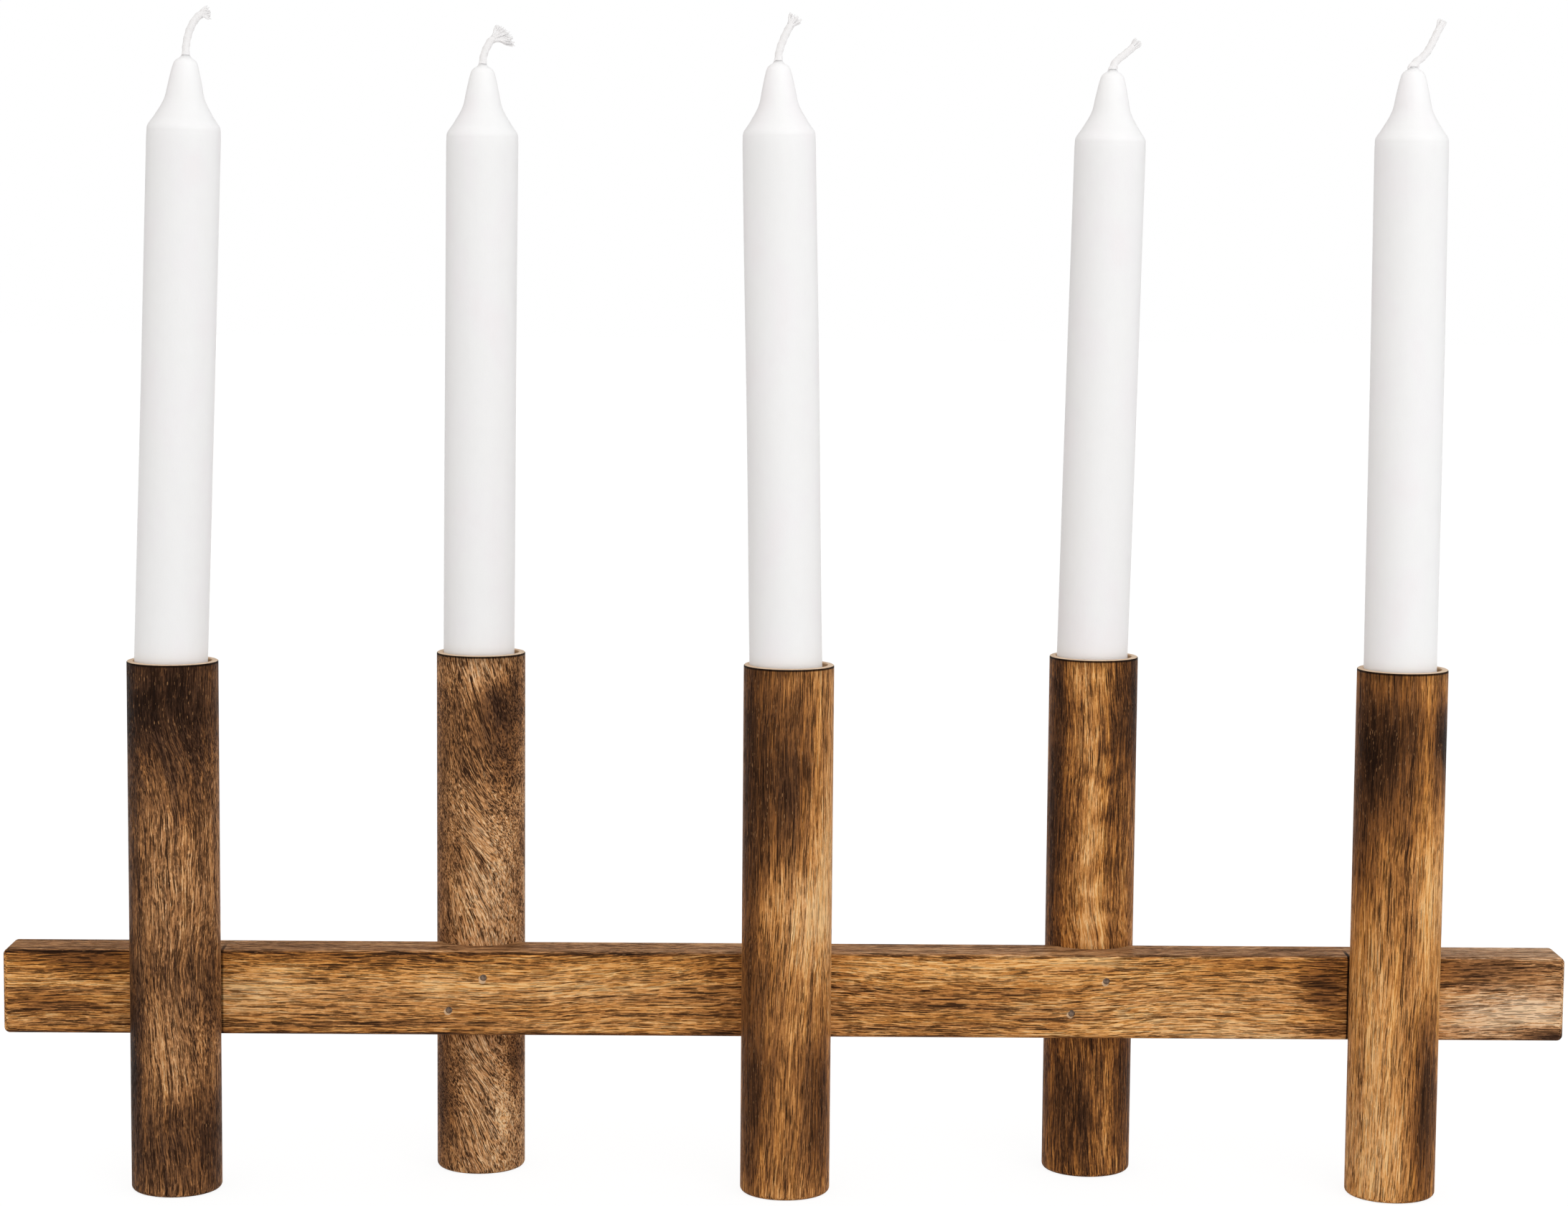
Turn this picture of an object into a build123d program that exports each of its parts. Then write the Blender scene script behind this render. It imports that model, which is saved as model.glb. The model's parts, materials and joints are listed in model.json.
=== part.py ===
from build123d import *
import math
import os

# Advent candle holder in wood: five round posts let into the two long faces of one cross bar,
# three in front and two behind. Each post is glued into its groove, held by two brads,
# and bored on top for a moulded candle with a braided wick.
# Millimetres. X runs along the bar, the front is on the -Y side, Z is up from the floor.

# Candles
CANDLE_DIAMETER = 22.0
CANDLE_LENGTH = 200.0
CANDLE_BASE_ROUNDING = 0.6
TAPER_HEIGHT = 20.4
TAPER_TIP_RADIUS = 3.7
TAPER_TIP_HEIGHT = 2.2
# Flank of the taper: share of the taper's height, share of the way out from tip to full radius
TAPER_FLANK_SHARES = ((0.15, 0.70), (0.39, 0.33), (0.64, 0.17))
TAPER_NECK_SLOPE_SHARES = (-1.0, 3.0)
# Lean of each candle as a share of the most that the play in its socket allows
LEAN_SHARES = (0.55, 0.11, -0.35, 0.30, -0.07)

# Wicks
WICK_DIAMETER = 2.6
WICK_FIT = 0.1
WICK_FREE_HEIGHT = 15.0
WICK_ARC_RUN_SHARE = 0.45
# Corners and end of each free wick above the wax: shares of the free height, across and up
WICK_ROUTE_SHARES = (
    ((0.0, 0.333), (0.113, 0.693), (0.307, 0.907), (0.507, 0.973)),
    ((0.0, 0.167), (0.067, 0.373), (0.200, 0.593), (0.467, 0.680)),
    ((0.0, 0.167), (0.057, 0.367), (0.200, 0.680), (0.373, 0.933)),
    ((0.0, 0.113), (0.080, 0.247), (0.280, 0.393), (0.520, 0.640)),
    ((0.0, 0.120), (0.187, 0.247), (0.333, 0.447), (0.573, 0.987)),
)

# Posts
POST_HEIGHT = 163.0
SOCKET_DEPTH = 20.0
SOCKET_CLEARANCE = 0.6
SOCKET_WALL = 2.15
SEAT_CLEARANCE = 0.2
FOOT_ROUNDING = 1.4
RIM_ROUNDING = 0.5

# Cross bar
BAR_LENGTH = 481.4
BAR_DEPTH = 18.0
BAR_HEIGHT = 26.2
BAR_MID_HEIGHT = 59.5
BAR_EDGE_ROUNDING = 1.8
END_OVERHANG = 53.9
REAR_SPLAY = 2.2
GROOVE_DEPTH = 8.2
GLUE_LINE = 0.1

# Brads, two for each post, driven through the bar from the face opposite the post
BRAD_LENGTH = 25.0
BRAD_DIAMETER = 1.4
BRAD_HEAD_DIAMETER = 2.0
BRAD_HEAD_HEIGHT = 1.0
BRAD_NECK_HEIGHT = 0.4
BRAD_POINT_HEIGHT = 2.5
BRAD_SINK = 0.5
BRAD_FIT = 0.05
BRAD_SPREAD = 5.3
BRAD_RISE = 5.1
# Sideways slip of each pair of brads, as a share of the spread
BRAD_SLIP_SHARES = (0.0, -0.54, 0.0, -0.39, 0.0)

# Cuts run this far past the face that they open
OVERRUN = 2.0

candle_radius = CANDLE_DIAMETER / 2
wick_radius = WICK_DIAMETER / 2
socket_radius = candle_radius + SOCKET_CLEARANCE
post_radius = socket_radius + SOCKET_WALL
socket_floor_height = POST_HEIGHT - SOCKET_DEPTH
post_offset = BAR_DEPTH / 2 + post_radius - GROOVE_DEPTH
largest_lean = math.degrees(math.atan2(2 * SOCKET_CLEARANCE, SOCKET_DEPTH))
upright = (Align.CENTER, Align.CENTER, Align.MIN)

# Post axes from left to right, front and rear in turn. The outer front posts stand in from the bar's
# ends, and the rear ones a little outside the middle of the gaps that they close.
front_pitch = BAR_LENGTH / 2 - END_OVERHANG
rear_reach = front_pitch / 2 + REAR_SPLAY
post_places = (
    (-front_pitch, -post_offset),
    (-rear_reach, post_offset),
    (0, -post_offset),
    (rear_reach, post_offset),
    (front_pitch, -post_offset),
)


def brad_places(index):
    """Where the two brads of one post start, each running along its own +Z into the bar."""
    across, depth = post_places[index]
    turn = 180 if depth < 0 else 0
    slip = BRAD_SLIP_SHARES[index] * BRAD_SPREAD
    joint = Pos(across, 0, BAR_MID_HEIGHT) * Rot(0, 0, turn)
    head_depth = BRAD_SINK - BAR_DEPTH / 2
    return [
        joint * Pos(slip + side * BRAD_SPREAD, head_depth, side * BRAD_RISE) * Rot(-90, 0, 0)
        for side in (1, -1)
    ]


def brad():
    """One brad with its head on the XY plane and its point along +Z."""
    head = BRAD_HEAD_DIAMETER / 2
    shank = BRAD_DIAMETER / 2
    outline = Polyline(
        (0, 0),
        (head, 0),
        (head, BRAD_HEAD_HEIGHT),
        (shank, BRAD_HEAD_HEIGHT + BRAD_NECK_HEIGHT),
        (shank, BRAD_LENGTH - BRAD_POINT_HEIGHT),
        (0, BRAD_LENGTH),
        close=True,
    )
    return revolve(Plane.XZ * make_face(outline), Axis.Z)


def brad_hole():
    """The hole that a driven brad leaves, open above its sunk head."""
    head_room = BRAD_HEAD_HEIGHT + BRAD_NECK_HEIGHT
    shank = Cylinder(BRAD_DIAMETER / 2 + BRAD_FIT, BRAD_LENGTH + BRAD_FIT, align=upright)
    mouth = BRAD_SINK + OVERRUN
    head = Cylinder(BRAD_HEAD_DIAMETER / 2 + BRAD_FIT, mouth + head_room, align=upright)
    return shank + Pos(0, 0, -mouth) * head


def drilled(timber, indices):
    """A bar or post with the holes of the brads that hold the posts named."""
    hole = brad_hole()
    holes = [place * hole for index in indices for place in brad_places(index)]
    return timber - holes


def crossbar():
    """The bar, its edges eased, with one round groove across its face for each post."""
    timber = Pos(0, 0, BAR_MID_HEIGHT) * Box(BAR_LENGTH, BAR_DEPTH, BAR_HEIGHT)
    timber = fillet(timber.edges(), BAR_EDGE_ROUNDING)
    groove = Cylinder(post_radius + GLUE_LINE, BAR_HEIGHT + 2 * OVERRUN)
    grooves = [Pos(across, depth, BAR_MID_HEIGHT) * groove for across, depth in post_places]
    return drilled(timber - grooves, range(len(post_places)))


def turned_post():
    """A post standing on the origin, eased at the foot and round the rim of its socket."""
    post = Cylinder(post_radius, POST_HEIGHT, align=upright)
    post = fillet(post.edges().sort_by(Axis.Z)[0], FOOT_ROUNDING)
    socket = Cylinder(socket_radius, SOCKET_DEPTH + OVERRUN, align=upright)
    post = post - Pos(0, 0, socket_floor_height) * socket
    rim_edges = post.edges().filter_by(GeomType.CIRCLE).group_by(Axis.Z)[-1]
    return fillet(rim_edges, RIM_ROUNDING)


def moulded_candle():
    """A candle standing on the origin, with its waisted taper and the channel for its wick."""
    channel = wick_radius + WICK_FIT
    shoulder_height = CANDLE_LENGTH - TAPER_HEIGHT
    base_flat = candle_radius - CANDLE_BASE_ROUNDING
    neck_height = CANDLE_LENGTH - TAPER_TIP_HEIGHT
    flank_width = candle_radius - TAPER_TIP_RADIUS
    flank_points = [
        (TAPER_TIP_RADIUS + out_share * flank_width, shoulder_height + up_share * TAPER_HEIGHT)
        for up_share, out_share in TAPER_FLANK_SHARES
    ]
    shoulder = (candle_radius, shoulder_height)
    neck = (TAPER_TIP_RADIUS, neck_height)
    base_arc = RadiusArc(
        (base_flat, 0), (candle_radius, CANDLE_BASE_ROUNDING), -CANDLE_BASE_ROUNDING
    )
    side = Line(base_arc @ 1, shoulder)
    flank = Spline(shoulder, *flank_points, neck, tangents=((0, 1), TAPER_NECK_SLOPE_SHARES))
    tip = TangentArc(neck, (channel, CANDLE_LENGTH), tangent=flank % 1)
    inside = Polyline(tip @ 1, (channel, 0), base_arc @ 0)
    return revolve(Plane.XZ * make_face([base_arc, side, flank, tip, inside]), Axis.Z)


def wick(index):
    """A wick from the base of its candle up the channel, with its free end bent over."""
    free_points = [
        (across_share * WICK_FREE_HEIGHT, 0, CANDLE_LENGTH + up_share * WICK_FREE_HEIGHT)
        for across_share, up_share in WICK_ROUTE_SHARES[index]
    ]
    points = [Vector(0, 0, 0)] + [Vector(*point) for point in free_points]
    radii = []
    for before, corner, after in zip(points, points[1:], points[2:]):
        turn = (corner - before).get_angle(after - corner)
        shorter_run = min((corner - before).length, (after - corner).length)
        radii.append(WICK_ARC_RUN_SHARE * shorter_run / math.tan(math.radians(turn) / 2))
    route = FilletPolyline(*points, radius=radii)
    strand = sweep(Plane(origin=route @ 0, z_dir=route % 0) * Circle(wick_radius), route)
    swept_share = strand.volume / (math.pi * wick_radius**2 * route.length)
    print("wick", index + 1, "radii", [round(r, 1) for r in radii], "volume share", round(swept_share, 4))
    return strand


def candle_place(index):
    """The base of a candle that leans about the middle of its socket, clear of the floor."""
    across, depth = post_places[index]
    lean = LEAN_SHARES[index] * largest_lean
    lift = candle_radius * math.sin(math.radians(abs(lean))) + SEAT_CLEARANCE
    socket_middle = Pos(across, depth, socket_floor_height + SOCKET_DEPTH / 2)
    return socket_middle * Rot(0, lean, 0) * Pos(0, 0, lift - SOCKET_DEPTH / 2)


post_blank = turned_post()
brad_blank = brad()
candle_blank = moulded_candle()

nodes = {"crossbar": crossbar()}
for index, (across, depth) in enumerate(post_places):
    number = index + 1
    nodes[f"post_{number}"] = drilled(Pos(across, depth, 0) * post_blank, [index])
    nodes[f"brads_{number}"] = Compound([place * brad_blank for place in brad_places(index)])
    nodes[f"candle_{number}"] = candle_place(index) * candle_blank
    nodes[f"wick_{number}"] = candle_place(index) * wick(index)

os.makedirs("parts", exist_ok=True)
for name, solid in nodes.items():
    export_step(solid, f"parts/{name}.step")
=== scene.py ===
import json
import math
import random

import bpy
from mathutils import Matrix, Vector


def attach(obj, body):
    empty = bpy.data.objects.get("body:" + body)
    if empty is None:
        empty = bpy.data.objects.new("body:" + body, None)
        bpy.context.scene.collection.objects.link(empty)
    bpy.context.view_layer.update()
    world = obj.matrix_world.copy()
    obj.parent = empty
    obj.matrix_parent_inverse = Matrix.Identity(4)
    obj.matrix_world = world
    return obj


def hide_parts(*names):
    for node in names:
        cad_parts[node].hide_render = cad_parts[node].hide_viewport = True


# Advent candle holder: the looks of its lacquered timber, wax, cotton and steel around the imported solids.
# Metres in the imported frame; sizes that are written in millimetres say so. The front is on the -Y side.

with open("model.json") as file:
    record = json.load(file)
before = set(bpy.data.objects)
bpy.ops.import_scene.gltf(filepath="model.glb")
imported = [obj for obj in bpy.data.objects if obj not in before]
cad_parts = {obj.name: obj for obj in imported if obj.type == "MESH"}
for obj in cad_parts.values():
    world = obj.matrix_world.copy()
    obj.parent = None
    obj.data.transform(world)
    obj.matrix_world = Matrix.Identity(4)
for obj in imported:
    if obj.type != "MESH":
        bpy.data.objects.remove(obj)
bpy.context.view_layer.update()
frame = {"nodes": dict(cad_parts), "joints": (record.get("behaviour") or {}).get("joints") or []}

MM = 0.001
FULL_TURN = 2 * math.pi

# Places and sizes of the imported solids, in millimetres
POST_PLACES = ((-186.8, -14.55), (-95.6, 14.55), (0.0, -14.55), (95.6, 14.55), (186.8, -14.55))
POST_RADIUS = 13.75
POST_HEIGHT = 163.0
SOCKET_RADIUS = 11.6
SOCKET_FLOOR = 143.0
BAR_MID_HEIGHT = 59.5
BAR_HALF_DEPTH = 9.0
BAR_HALF_HEIGHT = 13.1
CANDLE_RADIUS = 11.0
CANDLE_LENGTH = 200.0
WICK_FREE_HEIGHT = 15.0


def paint(red, green, blue):
    """A screen colour from 0 to 255 as the linear colour that a shader takes."""
    channels = []
    for level in (red, green, blue):
        share = level / 255
        channels.append(share / 12.92 if share <= 0.04045 else ((share + 0.055) / 1.055) ** 2.4)
    return (*channels, 1.0)


class Field:
    """A value that varies over a surface. Arithmetic on it adds Math nodes to its look."""

    def __init__(self, look, socket):
        self.look = look
        self.socket = socket

    def __add__(self, other):
        return self.look.math("ADD", self, other)

    def __radd__(self, other):
        return self.look.math("ADD", other, self)

    def __sub__(self, other):
        return self.look.math("SUBTRACT", self, other)

    def __rsub__(self, other):
        return self.look.math("SUBTRACT", other, self)

    def __mul__(self, other):
        return self.look.math("MULTIPLY", self, other)

    def __rmul__(self, other):
        return self.look.math("MULTIPLY", other, self)

    def __truediv__(self, other):
        return self.look.math("DIVIDE", self, other)

    def __rtruediv__(self, other):
        return self.look.math("DIVIDE", other, self)

    def __neg__(self):
        return self.look.math("MULTIPLY", self, -1.0)


class Look:
    """One node tree: a material's, or the world's."""

    def __init__(self, owner):
        self.owner = owner
        owner.use_nodes = True
        self.tree = owner.node_tree
        self.tree.nodes.clear()

    def node(self, kind, settings=None, sockets=None):
        """Adds a node: its settings first, then the values or links of its sockets."""
        made = self.tree.nodes.new(kind)
        for name, value in (settings or {}).items():
            if name == "stops":
                self.set_stops(made.color_ramp, value)
            else:
                setattr(made, name, value)
        for key, value in (sockets or {}).items():
            if isinstance(value, Field):
                self.tree.links.new(value.socket, made.inputs[key])
            else:
                made.inputs[key].default_value = value
        return made

    def set_stops(self, ramp, stops):
        while len(ramp.elements) < len(stops):
            ramp.elements.new(1.0)
        for element, (position, colour) in zip(ramp.elements, stops):
            element.position = position
            element.color = colour

    def field(self, kind, settings=None, sockets=None, output=0):
        return Field(self, self.node(kind, settings, sockets).outputs[output])

    def math(self, operation, *terms):
        return self.field("ShaderNodeMath", {"operation": operation}, dict(enumerate(terms)))

    def ease(self, value, start, end):
        """0 at start, 1 at end, and smooth between."""
        sockets = {"Value": value, "From Min": start, "From Max": end}
        return self.field("ShaderNodeMapRange", {"interpolation_type": "SMOOTHSTEP"}, sockets)

    def at_rates(self, place, rates, shift=0.0):
        """The three parts of a place times their rates, the middle one shifted, as a vector."""
        x, y, z = (part * rate for part, rate in zip(place, rates))
        return self.field("ShaderNodeCombineXYZ", None, {0: x, 1: y + shift if shift else y, 2: z})

    def parts(self, vector):
        split = self.node("ShaderNodeSeparateXYZ", None, {0: vector})
        return [Field(self, socket) for socket in split.outputs]

    def mixed(self, share, first, second):
        """The first colour where share is 0 and the second where it is 1."""
        sockets = {0: share, 6: first, 7: second}
        return self.field("ShaderNodeMix", {"data_type": "RGBA"}, sockets, output=2)

    def ramp(self, value, stops):
        return self.field("ShaderNodeValToRGB", {"stops": stops}, {0: value})

    def noise(self, place, rates, detail, shift=0.0):
        """Smooth noise from 0 to 1, at its rates for each millimetre of a place."""
        sockets = {"Vector": self.at_rates(place, rates, shift), "Scale": 1.0, "Detail": detail}
        return self.field("ShaderNodeTexNoise", None, sockets)

    def cells(self, place, rates):
        """Distance to the nearest of scattered points, and a number of that point's own."""
        sockets = {"Vector": self.at_rates(place, rates), "Scale": 1.0}
        made = self.node("ShaderNodeTexVoronoi", None, sockets)
        own = self.parts(Field(self, made.outputs["Color"]))[0]
        return Field(self, made.outputs["Distance"]), own

    def millimetres(self):
        """The place on the piece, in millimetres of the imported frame."""
        place = Field(self, self.node("ShaderNodeTexCoord").outputs["Object"])
        return [part * (1 / MM) for part in self.parts(place)]

    def output(self, shader):
        """Ends the look with its shader, and gives back the material or world."""
        in_world = isinstance(self.owner, bpy.types.World)
        kind = "ShaderNodeOutputWorld" if in_world else "ShaderNodeOutputMaterial"
        self.node(kind, None, {"Surface": Field(self, shader.outputs[0])})
        return self.owner

    def surface(self, relief, relief_height, relief_strength, sockets):
        """Ends the look: one surface with its relief, in metres."""
        bump = {"Height": relief, "Distance": relief_height, "Strength": relief_strength}
        normal = self.field("ShaderNodeBump", None, bump)
        return self.output(self.node("ShaderNodeBsdfPrincipled", None, {**sockets, "Normal": normal}))


def new_look(name):
    return Look(bpy.data.materials.new(name))


# Timber: an open-pored hardwood, smoked in patches, under a satin lacquer
TAN_TONES = (
    (0.0, (33, 21, 15)),
    (0.2, (80, 56, 42)),
    (0.4, (127, 91, 62)),
    (0.6, (174, 128, 90)),
    (0.8, (212, 167, 126)),
    (1.0, (238, 206, 172)),
)
GOLD_TONES = (
    (0.0, (32, 19, 12)),
    (0.2, (82, 52, 30)),
    (0.4, (138, 87, 44)),
    (0.6, (194, 129, 63)),
    (0.8, (228, 164, 93)),
    (1.0, (244, 197, 134)),
)
TONE_SHARE = 0.8
PORE_COLOUR = paint(40, 24, 15)
# Pale flecks are a painted highlight: specks that stand in for glints on the lacquer
PAINTED_HIGHLIGHT_FLECK_COLOUR = paint(160, 117, 78)
# Pale bare end grain on the posts' tops, made paler still by a painted sheen
RIM_AND_SHEEN_COLOUR = paint(244, 216, 186)
BURN_COLOUR = paint(27, 16, 11)
SOCKET_COLOUR = paint(206, 170, 132)
# Noise over the timber: rates for each millimetre across, in depth and along the grain
WAVER_RATES = (0.17, 0.17, 0.06)
SPECK_RATES = (1.7, 1.7, 1.0)
# Painted glints: bright specks in the tone that stand in for highlights on the lacquer
PAINTED_GLINT_RATES = (2.6, 2.6, 0.9)
WAVER_DEPTH_SHARE = 0.6
# Streaks along the grain: width and run in millimetres, and detail
FIBRE = (0.42, 14.0, 2.0)
HAIRS = (0.26, 8.0, 2.0)
BANDS = (2.0, 60.0, 3.0)
HAIR_LINES = (0.8, 30.0, 3.0)
HAIR_LINE_GAPS = (1.6, 12.0, 2.0)
HAIR_LINE_EDGE = (0.030, 0.008)
HAIR_LINE_BREAKS = (-0.02, 0.08)
DASH_WIDTH = 0.36
DASH_RUN_SHARE = 0.5
DASH_EDGE = (-0.06, 0.06)
LIVELY_BANDS = (-0.10, 0.10)
PAINTED_GLINT_RANGE = (0.58, 0.74)
# What each adds to the tone; dashes are faint in calm bands and stronger in lively ones
FIBRE_TONE = 1.1
HAIR_TONE = 1.4
BAND_TONE = 0.85
CALM_DASH_TONE = 0.06
LIVELY_DASH_TONE = 0.26
SPECK_TONE = 0.45
PAINTED_GLINT_TONE = 0.3
GRAIN_SHADE = 0.04
# Where and how far smoke hides the grain, and how much more gold and how much tighter pores are in light bands
SMOKE_RANGE = (-0.08, -0.5)
SMOKE_COVER = 0.5
BAND_GOLD = 0.9
BAND_TIGHTNESS = 1.1
# Pores: pitch across the grain in millimetres, and size as a share of the pitch
LONG_PORE_PITCH = 0.60
LONG_PORE_SIZE = 0.225
SHORT_PORE_PITCH = 0.46
SHORT_PORE_SIZE = 0.25
SHORT_PORE_RUN_SHARE = 0.3
SHORT_PORE_COVER = 0.85
HAIR_LINE_COVER = 0.7
SMALLEST_PORE = 0.6
PORE_SPREAD = 0.8
PORE_EDGE = (1.0, 0.84)
PORE_DARKNESS = 0.92
PALE_TONES = (0.60, 0.90)
PALE_PORE_FADE = 0.36
# Shape of the painted highlight flecks
FLECK_PITCH = 0.62
FLECK_RUN = 2.6
FLECK_SIZE = 0.21
FLECK_FIBRES = (-0.08, 0.06)
# Lacquer: what pores and fibre add to its roughness, and the relief that it leaves of them
LACQUER_ROUGHNESS = 0.42
PORE_ROUGHNESS = 0.25
FIBRE_ROUGHNESS = 0.10
LACQUER_GLOSS = 0.025
GRAIN_RELIEF = 0.25 * MM
GRAIN_RELIEF_STRENGTH = 0.7
FIBRE_RELIEF = 0.4
HAIR_RELIEF = 0.4
SPECK_RELIEF = 0.3
FLECK_RELIEF = 0.6


def tone_stops(tones):
    return [(position, paint(*colour)) for position, colour in tones]


def patch(look, across, along, spot):
    """A soft spot of another tone: its place, its reach both ways and its depth."""
    place_across, place_along, reach_across, reach_along, depth = spot
    side = (across - place_across) * (1 / reach_across)
    run = (along - place_along) * (1 / reach_along)
    return look.math("EXPONENT", -(side * side + run * run)) * depth


def smoked_and_shaded(look, across, along, spots):
    """All spots of a timber added up: below 0 for smoky patches and painted shade, above 0 where it is pale.
    """
    smoke_and_shade = patch(look, across, along, spots[0])
    for spot in spots[1:]:
        smoke_and_shade = smoke_and_shade + patch(look, across, along, spot)
    return smoke_and_shade


def pores(look, grain, pitch, run, size):
    """Dashes where the surface cuts the timber's long pores."""
    distance, own = look.cells(grain, (1 / pitch, 1 / pitch, 1 / run))
    return look.ease(distance / (size * (SMALLEST_PORE + PORE_SPREAD * own)), *PORE_EDGE)


def streaks(look, grain, width, run, detail):
    """Noise drawn out along the grain, about zero."""
    return look.noise(grain, (1 / width, 1 / width, 1 / run), detail) - 0.5


def open_grain(look, grain, timber, band):
    """Long pores, short pores and hair lines, tighter in light bands."""
    crowd = (1.0 - band * BAND_TIGHTNESS) * timber["open"]
    long_pores = pores(look, grain, LONG_PORE_PITCH * timber["pore"], timber["run"], crowd * LONG_PORE_SIZE)
    short_run = timber["run"] * SHORT_PORE_RUN_SHARE
    short_pores = pores(look, grain, SHORT_PORE_PITCH * timber["pore"], short_run, crowd * SHORT_PORE_SIZE)
    hair = look.math("ABSOLUTE", streaks(look, grain, *HAIR_LINES))
    broken = look.ease(streaks(look, grain, *HAIR_LINE_GAPS), *HAIR_LINE_BREAKS)
    hair_lines = look.ease(hair, *HAIR_LINE_EDGE) * broken
    both = look.math("MAXIMUM", long_pores, short_pores * SHORT_PORE_COVER)
    return look.math("MAXIMUM", both, hair_lines * HAIR_LINE_COVER)


def lacquered(look, grain, timber, tone, gold, smoke_and_shade, painted_highlight_share, cover):
    """Ends a timber look: pores, fibre, smoky and shaded spots, painted highlight flecks and glints, and
    lacquer over a ground tone from 0 to 1.
    """
    straight = grain
    across, depth, along = straight
    waver = look.noise(straight, WAVER_RATES, 2.0) - 0.5
    grain = (across + waver * timber["waver"], depth + waver * (WAVER_DEPTH_SHARE * timber["waver"]), along)
    fibre = streaks(look, grain, *FIBRE)
    hairs = streaks(look, grain, *HAIRS)
    band = streaks(look, grain, *BANDS)
    lively = look.ease(band, *LIVELY_BANDS)
    dash_run = DASH_RUN_SHARE * timber["run"]
    dash = look.ease(streaks(look, grain, DASH_WIDTH, dash_run, 0.0), *DASH_EDGE) - 0.5
    dashes = dash * (CALM_DASH_TONE + lively * LIVELY_DASH_TONE)
    speck = look.noise(straight, SPECK_RATES, 2.0) - 0.5
    # Painted glints: bright specks added to the tone in place of the lacquer's sparkle
    painted_glint = look.ease(look.noise(straight, PAINTED_GLINT_RATES, 2.0), *PAINTED_GLINT_RANGE)
    clear = 1.0 - look.ease(smoke_and_shade, *SMOKE_RANGE) * SMOKE_COVER
    streaky = (fibre * FIBRE_TONE + hairs * HAIR_TONE + dashes + band * BAND_TONE) * timber["streak"]
    mottle_and_painted_glints = (speck * SPECK_TONE + painted_glint * PAINTED_GLINT_TONE) * timber["mottle"]
    tone = (tone + (streaky + mottle_and_painted_glints - GRAIN_SHADE) * clear) * TONE_SHARE
    tan_ground = look.ramp(tone, tone_stops(TAN_TONES))
    gold_ground = look.ramp(tone, tone_stops(GOLD_TONES))
    ground = look.mixed(gold + band * BAND_GOLD, tan_ground, gold_ground)
    pore = open_grain(look, grain, timber, band)
    pale = look.ease(tone, *PALE_TONES)
    colour = look.mixed(pore * (PORE_DARKNESS - pale * PALE_PORE_FADE), ground, PORE_COLOUR)
    # Painted highlight flecks: pale specks along the fibre in place of glints on the lacquer
    painted_highlight_fleck = pores(look, grain, FLECK_PITCH, FLECK_RUN, FLECK_SIZE)
    painted_highlight_fleck = painted_highlight_fleck * look.ease(fibre, *FLECK_FIBRES) * painted_highlight_share
    colour = look.mixed(painted_highlight_fleck, colour, PAINTED_HIGHLIGHT_FLECK_COLOUR)
    for share, top_colour in cover:
        colour = look.mixed(share, colour, top_colour)
    relief = fibre * FIBRE_RELIEF + hairs * HAIR_RELIEF + speck * SPECK_RELIEF - pore + painted_highlight_fleck * FLECK_RELIEF
    sheen = {
        "Base Color": colour,
        "Roughness": LACQUER_ROUGHNESS + pore * PORE_ROUGHNESS + fibre * FIBRE_ROUGHNESS,
        "Specular IOR Level": LACQUER_GLOSS,
    }
    return look.surface(relief, GRAIN_RELIEF, GRAIN_RELIEF_STRENGTH, sheen)
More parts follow.
